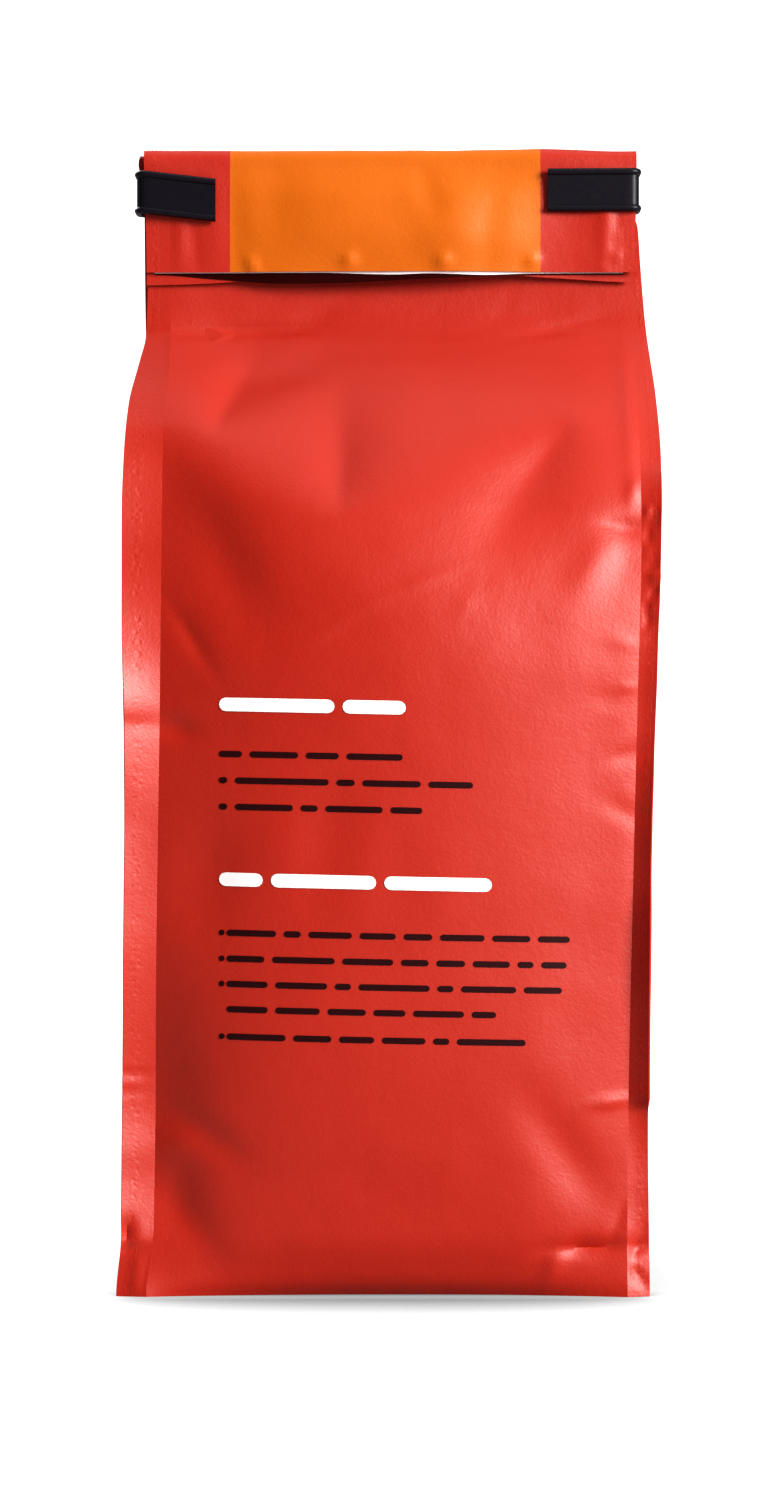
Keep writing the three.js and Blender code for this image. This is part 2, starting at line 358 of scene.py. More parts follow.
@dataclass(frozen=True)
class Fin:
    """The tip of one seal fin: its x, how far it stands out past the panel's edge, and its kinks.

    A kink is a dent whose x counts in millimetres from the fin's root.
    """

    tip_x: Outline
    out: Outline
    wave: Relief
    kinks: tuple[Dent, ...] = ()


# The fins, by their side and whether they are on the right
FINS = {
    (Side.NEAR, False): Fin(
        Outline(((0, -51.9), (12, -51), (36, -50.8), (60, -50.5), (100, -50.2), (112, -50.3),
                 (126, -50.9), (150, -51.3), (160, -51.1), (171, -50.5), (180, -48.8), (185, -47.8),
                 (200, -47.4), (208, -47.8), (216.5, -48.4), (218.5, -49.3), (220.4, -49.2),
                 (224, -48.3), (246, -47.5))),
        Outline(((0, -0.9), (8, -0.4), (10, 1), (13, 1.8), (60, 1.8), (90, 2.1), (103, 3),
                 (111, 3), (123, 1.5), (142, 0.6), (152, 0.9), (158, 0.7), (164, 0),
                 (176, -1), (186, -0.4), (194, 0), (222, 0))),
        Relief(13, 0.3, 3),
        (
            Dent(4.8, 12, 2.6, 1.9, 90, 1.6, Press.STEP),
            Dent(3, 42, 6, 0.7, 5, 0.4, Press.CREASE),
            Dent(4, 38.8, 4, 0.6, -6, 0.3, Press.CREASE),
            Dent(2.2, 4.4, 4.4, 0.7, 88, -0.5),
            Dent(3, 9.2, 4, 0.7, 2, 0.5, Press.CREASE),
            Dent(3, 109, 5, 0.7, 3, 0.25, Press.CREASE),
        ),
    ),
    (Side.NEAR, True): Fin(
        Outline(((0, 49.6), (36, 49.3), (80, 49.6), (116, 50.9), (150, 52.1), (160, 52.3),
                 (172, 51.8), (186, 50.5), (200, 49.4), (207, 48.9), (209.5, 48), (218, 48),
                 (220.4, 48.7), (224, 48.5), (246, 48.1))),
        Outline(((0, -1.2), (20, -0.9), (35.2, 0.2), (38.2, 2.5), (60, 2.8), (84, 2.2), (112, 0.5),
                 (150, 0.9), (156.6, 0.5), (159.2, -0.1), (172, -0.3), (186, 0), (222, 0))),
        Relief(9, 0.2, 8),
        (
            Dent(1.5, 8.6, 3, 1, 40, 0.9, Press.CREASE),
            Dent(2, 4, 3, 0.9, -50, 0.8, Press.CREASE),
            Dent(2.6, 12.4, 3, 0.8, 55, 0.5, Press.CREASE),
            *crumples((0.6, 3.6), (124, 151), deep=0.42, count=34, seed=12),
        ),
    ),
    (Side.FAR, False): Fin(
        Outline(((0, -50.4), (20, -50.1), (150, -50.2), (172, -49.6), (186, -48), (216.5, -48.2),
                 (246, -47.6))),
        Outline(((0, 2.4), (30, 2.6), (150, 2.4), (172, 1), (186, 0), (222, 0))),
        Relief(12, 0.4, 21),
    ),
    (Side.FAR, True): Fin(
        Outline(((0, 50.2), (20, 50.4), (110, 51.2), (150, 51.6), (172, 51), (186, 50.2),
                 (200, 49.3), (207, 48.7), (209.5, 47.9), (218, 47.9), (220.4, 48.6), (224, 48.6),
                 (246, 48.2))),
        Outline(((0, 2.2), (30, 3.6), (140, 4.2), (172, 1), (186, 0), (222, 0))),
        Relief(11, 0.4, 34),
    ),
}

NEAR_DENTS = (
    # The hollow beside the left fin, and the fold that ends it
    Dent(-45.5, 167.5, 21, 16, -88, 3.4, Press.BOWL),
    Dent(-31, 140, 12, 5, -66, 0.8),
    Dent(-37.5, 125, 8, 2.4, -58, 0.6, Press.CREASE),
    Dent(-40.1, 107.9, 4, 2.2, -15, 0.6),
    # The folds that run down from the neck
    Dent(-34.6, 164, 11, 11, 64, 2.5, Press.CONE),
    Dent(-21, 177, 10, 4, 20, 0.9),
    Dent(-9.4, 147.8, 14, 13, 90, 2.7, Press.CONE),
    Dent(36.2, 169, 17, 16, 236, 2.8, Press.CONE),
    Dent(-27, 186.4, 17, 1.5, 2, 0.8, Press.CREASE),
    Dent(36, 187.4, 10, 1.8, 13, 0.6, Press.CREASE),
    Dent(33, 191.4, 13, 2.4, 11, 0.35),
    Dent(24, 194, 4, 1.6, 60, 0.3),
    Dent(-14, 189.5, 7, 2.2, 24, 0.35),
    # The waves and crinkles along the right edge
    Dent(46.2, 168, 13, 1.4, 91, -0.35),
    Dent(46.9, 154.2, 2.8, 1.2, 80, -0.45),
    Dent(45.4, 146.9, 4.4, 3.4, -5, 1.1, Press.STEP),
    Dent(39.6, 139.6, 8, 3.4, 54, -0.5),
    Dent(45, 139, 9, 4.6, 84, 0.35),
    Dent(47.6, 92, 44, 6.5, 90, -0.7),
    Dent(44.4, 124.4, 3.4, 1.3, -16, -0.2),
    Dent(45.6, 116, 2.2, 0.7, 8, -0.3, Press.CREASE),
    Dent(41.5, 113.6, 4, 2, -4, 0.2),
    Dent(45.5, 103, 3.4, 1.6, 20, 0.35),
    Dent(45, 92, 5, 1.8, -30, 0.3),
    # Small marks in the middle
    Dent(15, 130.6, 3.4, 2, 78, -0.18),
    Dent(15.3, 129.4, 2, 0.7, 80, 0.22, Press.CREASE),
    Dent(-9.6, 127.8, 8, 1.1, 31, -0.16),
    Dent(4.6, 135, 8, 1.1, 22, -0.16),
    Dent(-11.2, 86.6, 11, 6, 80, 0.6),
    # The left side, below
    Dent(-34.5, 80, 12, 6.5, 84, 0.85),
    Dent(-48, 34, 25, 11, 90, 3.5),
    Dent(-33.8, 30, 8, 3.2, -35, 0.7),
    Dent(-40.6, 28.4, 5, 3.4, 20, -0.5),
    Dent(-40.4, 18, 7.5, 4.6, 84, 0.9),
    Dent(-36.4, 12.2, 7, 4, -56, 0.8),
    # The right side, below
    Dent(42, 37, 3.8, 1, 8, -0.55),
    Dent(33.4, 27.8, 13, 4.6, -55, 0.9),
    Dent(38.4, 9.2, 7.4, 2.6, 2, 1.8, Press.CREASE),
    Dent(31.6, 6.4, 4.4, 1.7, 68, -0.5),
    Dent(43.4, 14, 5, 2, 70, 0.5, Press.CREASE),
)

FAR_DENTS = (
    Dent(38, 118, 26, 7, 90, 1.5),
    Dent(-37, 96, 20, 6, 84, 1.3),
    Dent(12, 158, 12, 4.6, -52, 1.1, Press.STEP),
    Dent(-20, 162, 12, 4.4, 58, 1),
    Dent(33, 24, 12, 4, 40, 1.1),
    Dent(-36, 20, 10, 4, -50, 1),
)

GUSSET_DENTS = (
    Dent(-16, 118, 22, 6, 80, 0.9),
    Dent(15, 88, 26, 6, 97, 0.8),
    Dent(-12, 38, 18, 6, 70, 0.9),
    Dent(17, 24, 12, 4, 118, 0.9),
    Dent(0, 75, 90, 2, 90, 1, Press.CREASE),
)

# On the flap, z counts down from the fold
FLAP_DENTS = (
    Dent(-7.9, 19.8, 1.4, 1.2, 0, -0.7),
    Dent(10.6, 20, 1.5, 1.3, 0, -0.75),
    Dent(28.2, 19.8, 1.3, 1.1, 0, -0.65),
    Dent(-26.9, 20.6, 2, 1, 62, -0.55),
    Dent(-22, 11, 9, 5, 80, 0.5),
    Dent(7.6, 6, 5, 2.6, 74, 0.4),
    Dent(-30.4, 12, 10, 2.6, 88, 0.35),
    Dent(4, 14, 12, 4.4, 78, 0.3),
    Dent(20, 13, 10, 3, 96, 0.3),
    Dent(-41, 14, 7, 0.9, 90, -0.2),
    Dent(-46, 16, 5, 1.2, 74, 0.3),
    Dent(-38, 17, 5, 1, 84, 0.2),
    Dent(42.4, 14, 9, 1.2, 90, -0.3),
    Dent(43.5, 14, 14, 6, 90, -0.7),
    *crumples((43, 45.6), (6, 21), deep=0.28, count=14, seed=5),
)


@dataclass(frozen=True)
class Fold:
    """How the flat stack of the neck bends over at the top and hangs down as the flap."""

    top: float = 221.8
    stack_half: float = 0.8
    radius: float = 1.3
    tilt: float = math.radians(-1.2)
    bow: float = 3.4
    flap: float = 22.0
    limp_from: float = 184.0
    limp_over: float = 14.0
    waves: tuple[Relief, ...] = (Relief(17.0, 0.16, 41), Relief(6.5, 0.05, 42))
    bowed: Outline = Outline((
        (-48, -0.05), (-40, 0.02), (-33, 0.14), (-18, 0.62), (0, 0.92), (12, 1), (20, 0.8),
        (31, 0.29), (42, 0.08), (48, 0.03),
    ))
    hang: Outline = Outline(((0, 0), (8, 0.75), (15, 1), (22, 0.85)))

    @property
    def start(self) -> float:
        """The height at which the stack begins to bend."""
        return self.top - self.radius - self.stack_half

    @property
    def turned(self) -> float:
        """The angle that the stack is bent through."""
        return math.pi - self.tilt

    @property
    def end(self) -> float:
        """The place on the path at which the bend is over."""
        return self.start + self.turned * self.radius

    @property
    def edge(self) -> float:
        """The place on the path of the flap's cut edge."""
        return self.end + self.flap

    def bend(self, x: Array, depth: Array, path: Array) -> Array:
        """Bends the upright stack over.

        Args:
            x: Places across the bag.
            depth: Places through the stack, near side negative.
            path: Places along the path, which are heights below the fold.

        Returns:
            The points, with their x, y and z last.
        """
        wave = sum(relief.at(x, path) for relief in self.waves)
        depth = depth + wave * smooth(path, self.limp_from, self.limp_from + self.limp_over)
        angle = np.clip((path - self.start) / self.radius, 0.0, self.turned)
        down = np.maximum(path - self.end, 0.0)
        reach = np.where(path > self.start, self.radius + depth, 0.0)
        bow = self.bow * self.bowed.at(x) * self.hang.at(down)
        above = path > self.start
        bent_y = reach * np.cos(angle) - self.radius - down * math.sin(self.tilt) - bow
        bent_z = self.start + reach * np.sin(angle) - down * math.cos(self.tilt)
        y, z = np.where(above, bent_y, depth), np.where(above, bent_z, path)
        return np.stack(np.broadcast_arrays(x, y, z), axis=-1)


@dataclass
class Pouch:
    """The bag's film: two panels, two gussets, four seal fins, the neck, the fold and the flap.

    Its outlines go up the path: the x of the panels' edges, the panels' depth in the bag at these
    corners, and how far the panels and the gussets bulge out in their middle. A fin is no thicker
    than its share fin_most of the corner's depth.
    """

    fold: Fold = Fold()
    grain: float = 0.92
    gusset_grain: float = 2.0
    bend_rows: int = 15
    fin_grid: int = 6
    base_rings: int = 16
    tuck_z: float = 128.0
    shoulder_z: float = 158.0
    fins_flat_z: float = 181.0
    dents_fade: Pair = (185.0, 197.0)
    flap_blend: float = 2.0
    gusset_half: float = 32.0
    tuck_steepness: float = 12.0
    fin_thick: float = 0.5
    fin_most: float = 0.6
    fin_curl: float = 0.5
    stiff_root: float = 0.3
    crown: float = 2.2
    left_root: Outline = Outline((
        (0, -46.2), (12, -44.9), (60, -44.4), (130, -43.6), (166, -43.6), (177, -42.9),
        (222, -43),
    ))
    right_root: Outline = Outline((
        (0, 45.3), (36, 45.6), (80, 46.5), (116, 47.4), (150, 48.3), (186, 48.1), (200, 46.4),
        (222, 46),
    ))
    corner: Outline = Outline((
        (0, 33.6), (6, 32.6), (25, 31.2), (90, 30.8), (118, 30.8), (130, 30.2), (140, 28.9),
        (150, 26.4), (158, 23.2), (166, 18.8), (172, 14.4), (178, 9), (183, 4.7), (187, 2.1),
        (191, 1.1), (196, 0.8), (222, 0.8),
    ))
    bulge: Outline = Outline((
        (0, -5.2), (1.5, -3.3), (5, -0.6), (12, 2.2), (30, 4.8), (64, 6.2), (108, 6.4), (130, 6),
        (146, 5), (158, 3.9), (170, 2.2), (178, 1), (183, 0.3), (187, 0), (222, 0),
    ))
    gusset_bulge: Outline = Outline((
        (0, -1.2), (3, 0), (14, 1.6), (50, 2.6), (100, 2.2), (128, 0.6), (142, 0), (222, 0),
    ))
    handling: tuple[Relief, ...] = (Relief(21, 0.16, 5), Relief(8.5, 0.05, 6))
    panels_apart: float = 200.0
    gussets_apart: float = 90.0
    orange: Pair = (-31.2, 29.7)
    base_rise: float = 0.7
    base_seam: float = 0.012
    base_flat: float = 0.9

    def heights(self) -> Array:
        """Places along the path, from the base to the flap's cut edge."""
        fold = self.fold
        body = np.linspace(0.0, fold.start, round(fold.start / self.grain) + 1)
        arc = np.linspace(fold.start, fold.end, self.bend_rows)[1:]
        flap = np.linspace(fold.end, fold.edge, round(fold.flap / self.grain) + 1)[1:]
        return np.concatenate([body, arc, flap])

    def share(self, x: Array | float, h: Array | float) -> Array:
        """Turns an x to a place across a panel, from -1 at its left edge to 1 at its right one."""
        left, right = self.left_root.at(h), self.right_root.at(h)
        return 2.0 * (x - left) / (right - left) - 1.0

    def across_panel(self, side: Side) -> Array:
        """Places across a panel, counter-clockwise round the bag.

        Args:
            side: Which panel. The far one has a column on each edge of the orange band.

        Returns:
            The places, from -1 to 1 on the near panel and from 1 to -1 on the far one.
        """
        width = self.right_root.at(self.fold.edge) - self.left_root.at(self.fold.edge)
        stops = [-1.0, 1.0]
        if side is Side.FAR:
            stops[1:1] = [self.share(x, self.fold.edge) for x in self.orange]
        spans = [
            np.linspace(a, b, round((b - a) * width / 2.0 / self.grain) + 1)[:-1]
            for a, b in zip(stops, stops[1:])
        ]
        places = np.append(np.concatenate(spans), 1.0)
        return places if side is Side.NEAR else places[::-1]

    def columns(self) -> list[Column]:
        """The film's columns, counter-clockwise from above, from the near panel's left edge."""
        across = np.linspace(0.0, 1.0, round(self.gusset_half / self.gusset_grain) * 2 + 1)
        found: list[Column] = []
        for side, right in ((Side.NEAR, True), (Side.FAR, False)):
            found += [Column(Part.PANEL, side, False, t) for t in self.across_panel(side)]
            found += self.fin_columns(side, right)
            places = across if right else across[::-1]
            found += [Column(Part.GUSSET, Side.NEAR, right, q) for q in places]
            found += self.fin_columns(Side(-side), right)[::-1]
        return found

    def fin_columns(self, side: Side, right: bool) -> list[Column]:
        """The columns of a fin, out on its face and back on its face to the gusset."""
        outwards = np.linspace(0.0, 1.0, self.fin_grid + 1)[1:]
        faces = [Column(Part.FIN, side, right, a) for a in outwards]
        return faces + [Column(Part.FIN, side, right, a, back=True) for a in outwards[::-1]]

    def panel(self, side: Side, across: Array | float, h: Array) -> tuple[Array, Array]:
        """Points of a panel.

        Args:
            side: Which panel.
            across: From -1 at its left edge to 1 at its right edge.
            h: Places along the path.

        Returns:
            The points' x, and their depth in the bag, near side negative.
        """
        left, right = self.left_root.at(h), self.right_root.at(h)
        x = left + (right - left) * (across + 1.0) / 2.0
        crown = 1.0 - np.abs(across) ** self.crown
        dents = NEAR_DENTS if side is Side.NEAR else FAR_DENTS
        pressed = sum(dent.depth(x, h) for dent in dents)
        place = x + self.panels_apart * side
        pressed = pressed + sum(relief.at(place, h) for relief in self.handling)
        low = self.corner.at(h) + self.bulge.at(h) * crown
        low = low - pressed * (1.0 - smooth(h, *self.dents_fade))
        if side is Side.FAR:
            raised = -sum(dent.depth(x, h - self.fold.end) for dent in FLAP_DENTS)
            low = low + raised * smooth(h, self.fold.end, self.fold.end + self.flap_blend)
        return x, side * low

    def fin(self, side: Side, right: bool, along: float, back: bool,
            h: Array) -> tuple[Array, Array]:
        """Points of a seal fin.

        Args:
            side: The fin's side.
            right: Whether it is one of the right-hand fins.
            along: From 0 at the root to 1 at the tip.
            back: Whether the points are on the face to the gusset.
            h: Places along the path.

        Returns:
            The points' x, and their depth in the bag.
        """
        shape = FINS[side, right]
        root_x, root_depth = self.panel(side, 1.0 if right else -1.0, h)
        free = 1.0 - smooth(h, self.shoulder_z, self.fins_flat_z)
        reach = shape.tip_x.at(h) - root_x
        kinked = sum(kink.depth(np.abs(reach) * along, h) for kink in shape.kinks)
        kinked = kinked * smooth(np.array(along), 0.0, self.stiff_root)
        wave = shape.wave.at(np.zeros_like(h), h) * free
        out = side * (shape.out.at(h) + wave - kinked / max(along, self.stiff_root))
        thick = np.minimum(self.fin_thick, self.corner.at(h) * self.fin_most)
        thick = thick / np.hypot(reach, out) * back
        inwards = -side * np.sign(reach)
        curl = side * self.fin_curl * along * (1.0 - along) * free
        return (
            root_x + reach * along - out * inwards * thick,
            root_depth + out * along - curl + reach * inwards * thick,
        )

    def gusset(self, right: bool, across: float, h: Array) -> tuple[Array, Array]:
        """Points of a side gusset.

        Args:
            right: Whether it is the right-hand gusset.
            across: From 0 at its near corner to 1 at its far corner.
            h: Places along the path.

        Returns:
            The points' x, and their depth in the bag.
        """
        near_x, near_depth = self.fin(Side.NEAR, right, 0.0, True, h)
        far_x, far_depth = self.fin(Side.FAR, right, 0.0, True, h)
        x = near_x + (far_x - near_x) * across
        depth = near_depth + (far_depth - near_depth) * across
        half = self.corner.at(h)
        tucked = smooth(h, self.tuck_z, self.shoulder_z)
        tuck_half = half * tucked
        slack = np.maximum(self.gusset_half - half, 0.0)
        tuck = np.minimum(np.sqrt(slack * (slack + 2.0 * tuck_half)),
                          self.tuck_steepness * np.maximum(half - self.fold.stack_half, 0.0))
        inwards = tuck * np.maximum(0.0, 1.0 - np.abs(depth) / np.maximum(tuck_half, 1e-6))
        crown = 1.0 - (2.0 * across - 1.0) ** 2
        hand = 1.0 if right else -1.0
        place = depth + self.gussets_apart * hand
        handled = sum(dent.depth(depth, h) for dent in GUSSET_DENTS)
        handled = handled + sum(relief.at(place, h) for relief in self.handling)
        outwards = (self.gusset_bulge.at(h) - handled * (1.0 - tucked)) * crown
        return x + hand * (outwards - inwards), depth

    def section(self, column: Column, h: Array) -> tuple[Array, Array]:
        """Points of one column before the fold.

        Args:
            column: The column.
            h: Places along the path.

        Returns:
            The points' x, and their depth in the bag.
        """
        if column.part is Part.PANEL:
            return self.panel(column.side, column.across, h)
        if column.part is Part.FIN:
            return self.fin(column.side, column.right, column.across, column.back, h)
        return self.gusset(column.right, column.across, h)

    def base_rows(self, rim: Array, roots: Array) -> Array:
        """Rows that close the base: the fins' ends, then rings that shrink to its middle seam.

        Args:
            rim: The film's lowest row.
            roots: The same row with each fin's points drawn in to its root.

        Returns:
            The rows, from the middle seam out to the fins' roots.
        """
        rows = []
        for share in np.linspace(0.0, 1.0, self.base_rings):
            row = roots.copy()
            row[:, 1] *= max(share, self.base_seam)
            row[:, 2] = self.base_rise * (1.0 - smooth(np.array(share), self.base_flat, 1.0))
            rows.append(row)
        rows[-1][:, 2] = rim[:, 2]
        return np.array(rows)

    def build(self) -> Object:
        """Makes the film's mesh, with the orange band as its second material.

        Returns:
            The film.
        """
        h = self.heights()
        columns = self.columns()
        sections = [self.section(column, h) for column in columns]
        x = np.stack([section[0] for section in sections], axis=1)
        depth = np.stack([section[1] for section in sections], axis=1)
        points = self.fold.bend(x, depth, h[:, None])
        roots = points[0].copy()
        for i, column in enumerate(columns):
            if column.part is Part.FIN:
                at = self.fin(column.side, column.right, 0.0, column.back, h[:1])
                roots[i, :2] = at[0][0], at[1][0]
        base = self.base_rows(points[0], roots)
        points = np.concatenate([base, points])
        sealed = [column.across if column.part is Part.FIN else 0.0 for column in columns]
        seal = np.tile(sealed, (len(points), 1))
        around = zip(columns, columns[1:] + columns[:1])
        seams = {i if column.part is not Part.FIN else (i + 1) % len(columns)
                 for i, (column, after) in enumerate(around) if column.part is not after.part}
        paint = np.zeros((len(points) - 1, len(columns)), int)
        left, right = (self.share(edge, self.fold.edge) for edge in self.orange)
        for i, (column, after) in enumerate(zip(columns, columns[1:])):
            far = column.part is Part.PANEL and after.part is Part.PANEL and column.side is Side.FAR
            if far and left < (column.across + after.across) / 2.0 < right:
                paint[len(base):, i] = 1
        return grid_mesh("bag_film", points, closed=True, paint=paint, seal=seal, seams=seams)


@dataclass(frozen=True)
class Ply:
    """One strip in the flap's mouth: its place through the stack, and how far it comes out.

    The reach is read from -1 at the strip's left end to 1 at its right end.
    """

    name: str
    half_width: float
    depth: float
    thick: float
    reach: Outline


@dataclass
class FlapEdge:
    """Below the flap's cut edge: the inner ply, a lining painted dark as shadow, and the bare foil.
    """

    fold: Fold = Fold()
    hidden: float = 4.0
    columns: int = 121
    rows: int = 6
    plies: tuple[Ply, ...] = (
        Ply("bag_inner_ply", 47.6, -0.25, 0.35,
            Outline(((-1, 2.1), (-0.8, 1.9), (-0.6, 1.4), (-0.2, 0.3), (0.4, 0.1), (0.7, 0.8),
                     (1, 1.5)))),
        # A dark strip that paints the shadow beneath the flap's edge
        Ply("bag_lining_painted_shadow", 46, -0.05, 0.12,
            Outline(((-1, 0.3), (-0.74, 1.2), (-0.44, 2.2), (-0.22, 2.1), (0.08, 1.5),
                     (0.37, 0.9), (0.67, 0.4), (1, 0.3)))),
        # The foil edge's bright line is partly painted sheen, through its near-white, barely
        # metallic colour
        Ply("bag_foil_edge", 46, 0.15, 0.12,
            Outline(((-1, 0.04), (-0.3, 0.12), (0.02, 0.5), (0.17, 0.3), (0.4, 0.55),
                     (0.62, 0.16), (1, 0.04)))),
    )

    def strip(self, ply: Ply) -> Object:
        """Makes a strip of film that comes out from behind the flap's edge.

        Args:
            ply: What it is like.

        Returns:
            The strip.
        """
        x = np.linspace(-ply.half_width, ply.half_width, self.columns)
        reach = ply.reach.at(np.linspace(-1.0, 1.0, self.columns))
        share = np.linspace(0.0, 1.0, self.rows)[:, None]
        path = self.fold.edge - self.hidden + (self.hidden + reach) * share
        depth = np.full_like(path, ply.depth)
        points = self.fold.bend(np.broadcast_to(x, path.shape), depth, path)
        return grid_mesh(ply.name, points, closed=False, thickness=ply.thick)

    def build(self) -> list[Object]:
        """Makes the inner ply, the lining painted dark as shadow and the foil edge, in this order.
        """
        return [self.strip(ply) for ply in self.plies]


# The print on the near panel


@dataclass(frozen=True)
class BarLine:
    """One line of plain bars: where it starts, their lengths, and whether a bullet leads it."""

    x: float
    z: float
    lengths: tuple[float, ...]
    bullet: bool = False


@dataclass
class PanelPrint:
    """Plain rounded bars on the near panel, in the places of its headings and lines."""

    pouch: Pouch
    lift: float = 0.12
    tilt: float = math.radians(-1.2)
    margin: float = -32.3
    indent: float = 1.5
    word_gap: float = 1.5
    bullet_size: float = 1.1
    bar_step: float = 0.8
    heading_tall: float = 2.6
    line_tall: float = 1.15
    headings: tuple[BarLine, ...] = (
        BarLine(-32.3, 112.6, (22, 12)),
        BarLine(-32.3, 79.4, (8.4, 20, 20.4)),
    )
    lines: tuple[BarLine, ...] = (
        BarLine(-32.3, 103.2, (4.4, 9.2, 6.2, 10.6)),
        BarLine(-32.3, 98.2, (1.6, 17.8, 3.4, 11, 8.4)),
        BarLine(-32.3, 93.2, (1.6, 11, 3.2, 10.8, 6)),
        BarLine(-30.8, 69.3, (9.4, 3.2, 8.2, 6.8, 5.4, 8.4, 7.2, 6), bullet=True),
        BarLine(-30.8, 64.4, (7.2, 11.8, 9.6, 5.2, 5.4, 7, 3, 4.8), bullet=True),
        BarLine(-30.8, 59.6, (7.8, 9.8, 3, 13.4, 3, 10.4, 7.2), bullet=True),
        BarLine(-30.8, 54.8, (7.8, 8.4, 7.2, 6, 9.6, 4.6)),
        BarLine(-30.8, 49.6, (11.2, 7.2, 6.6, 8.2, 3, 13), bullet=True),
    )

    def surface(self, x: Array, z: Array) -> Array:
        """Points just above the near panel, with their x, y and z last."""
        _, depth = self.pouch.panel(Side.NEAR, self.pouch.share(x, z), z)
        return np.stack([x, depth - self.lift, z], axis=-1)

    def bar(self, bm: bmesh.types.BMesh, start: float, z: float, length: float,
            tall: float) -> None:
        """Adds one bar with round ends.

        Args:
            bm: The mesh that takes it.
            start: The x of its left end.
            z: The height of its middle.
            length: Its length.
            tall: Its height.
        """
        segments = max(round(length / self.bar_step), 4)
        made = bmesh.ops.create_grid(bm, x_segments=segments, y_segments=6, size=1.0)["verts"]
        u, v = np.array([vert.co[:2] for vert in made]).T
        v = np.sin(v * math.pi / 2.0)
        half, radius = length / 2.0, min(tall, length) / 2.0
        x = start + half + u * (half - radius * (1.0 - np.sqrt(np.maximum(1.0 - v * v, 0.0))))
        height = z + v * tall / 2.0 + (x - self.margin) * math.tan(self.tilt)
        for vert, place in zip(made, self.surface(x, height)):
            vert.co = Vector(place)

    def block(self, name: str, rows: Iterable[BarLine], tall: float) -> Object:
        """Makes the bars of several lines as one piece.

        Args:
            name: The piece's name.
            rows: The lines.
            tall: Their bars' height.

        Returns:
            The piece.
        """
        bm = bmesh.new()
        for row in rows:
            start = row.x
            if row.bullet:
                self.bar(bm, start - self.indent, row.z, self.bullet_size, self.bullet_size)
            for length in row.lengths:
                self.bar(bm, start, row.z, length, tall)
                start += length + self.word_gap
        bmesh.ops.recalc_face_normals(bm, faces=bm.faces)
        return mesh_object(name, bm)

    def build(self) -> list[Object]:
        """Makes the white headings and the dark lines, in this order."""
        return [
            self.block("print_headings", self.headings, self.heading_tall),
            self.block("print_lines", self.lines, self.line_tall),
        ]


# The tin tie


@dataclass
class TinTie:
    """A plastic web with a wire in each edge bead, bent into a flat U round the folded neck."""

    fold: Fold = Fold()
    height: float = 8.5
    bead: float = 0.7
    web_half: float = 0.25
    gap: float = 0.3
    turn_radius: float = 1.3
    turn_left: float = -49.2
    turn_right: float = 48.8
    left_end: float = -34.0
    right_end: float = 31.1
    left_z: float = 213.2
    right_z: float = 213.7
    left_drop: float = 1.6
    right_drop: float = 0.1
    below_bend: float = 9.0
    flap_stands_out: float = 0.65
    end_rows: int = 14
    bend_rows: int = 8
    back_rows: int = 60
    bead_points: int = 15

    def path(self) -> Array:
        """The middle line of the web.

        Returns:
            The points, from the left end round the far side to the right end.
        """
        fold = self.fold
        off = self.gap + self.bead
        flap = 2.0 * fold.radius + fold.stack_half + self.below_bend * math.sin(fold.tilt)
        near = -flap - off - self.flap_stands_out
        far = fold.stack_half + off
        r = self.turn_radius
        left, right = self.turn_left + r, self.turn_right - r
        corners = [
            (left, near + r, -math.pi / 2, self.left_z),
            (left, far - r, math.pi, self.left_z),
            (right, far - r, math.pi / 2, self.right_z),
            (right, near + r, 0.0, self.right_z),
        ]
        left_tip = (self.left_end, near, self.left_z - self.left_drop)
        right_tip = (self.right_end, near, self.right_z - self.right_drop)
        line = [*np.linspace(left_tip, (left, near, self.left_z), self.end_rows)[:-1]]
        for number, (x, y, start, z) in enumerate(corners):
            angles = start - np.linspace(0.0, math.pi / 2, self.bend_rows)
            line += [(x + r * math.cos(a), y + r * math.sin(a), z) for a in angles]
            if number == 1:
                ends = (left, far, self.left_z), (right, far, self.right_z)
                line += [*np.linspace(*ends, self.back_rows)[1:-1]]
        line += [*np.linspace((right, near, self.right_z), right_tip, self.end_rows)[1:]]
        return np.array(line)

    def profile(self) -> Array:
        """The strip's section: across its thickness, and up."""
        centre = self.height / 2.0 - self.bead
        opening = math.asin(self.web_half / self.bead)
        round_the_wire = np.linspace(0.0, 2.0 * math.pi - 2.0 * opening, self.bead_points)
        angles = -math.pi / 2 + opening + round_the_wire
        upper = np.stack([self.bead * np.cos(angles), centre + self.bead * np.sin(angles)], axis=1)
        return np.concatenate([upper, -upper])

    def build(self) -> Object:
        """Makes the tie's mesh.

        Returns:
            The tie.
        """
        path, profile = self.path(), self.profile()
        along = np.gradient(path[:, :2], axis=0)
        along /= np.linalg.norm(along, axis=1)[:, None]
        across = np.stack([-along[:, 1], along[:, 0], np.zeros(len(path))], axis=1)
        up = np.array([0.0, 0.0, 1.0])
        points = path[:, None] + across[:, None] * profile[None, :, :1] + up * profile[None, :, 1:]
        return grid_mesh("tin_tie_strip", points, closed=True)


# Finishes


def linear(colour: str) -> tuple[float, float, float, float]:
    """Turns an sRGB hex colour, #rrggbb, to linear red, green, blue and alpha."""
    shares = [int(colour[i:i + 2], 16) / 255.0 for i in (1, 3, 5)]
    made = [s / 12.92 if s <= 0.04045 else ((s + 0.055) / 1.055) ** 2.4 for s in shares]
    return (*made, 1.0)


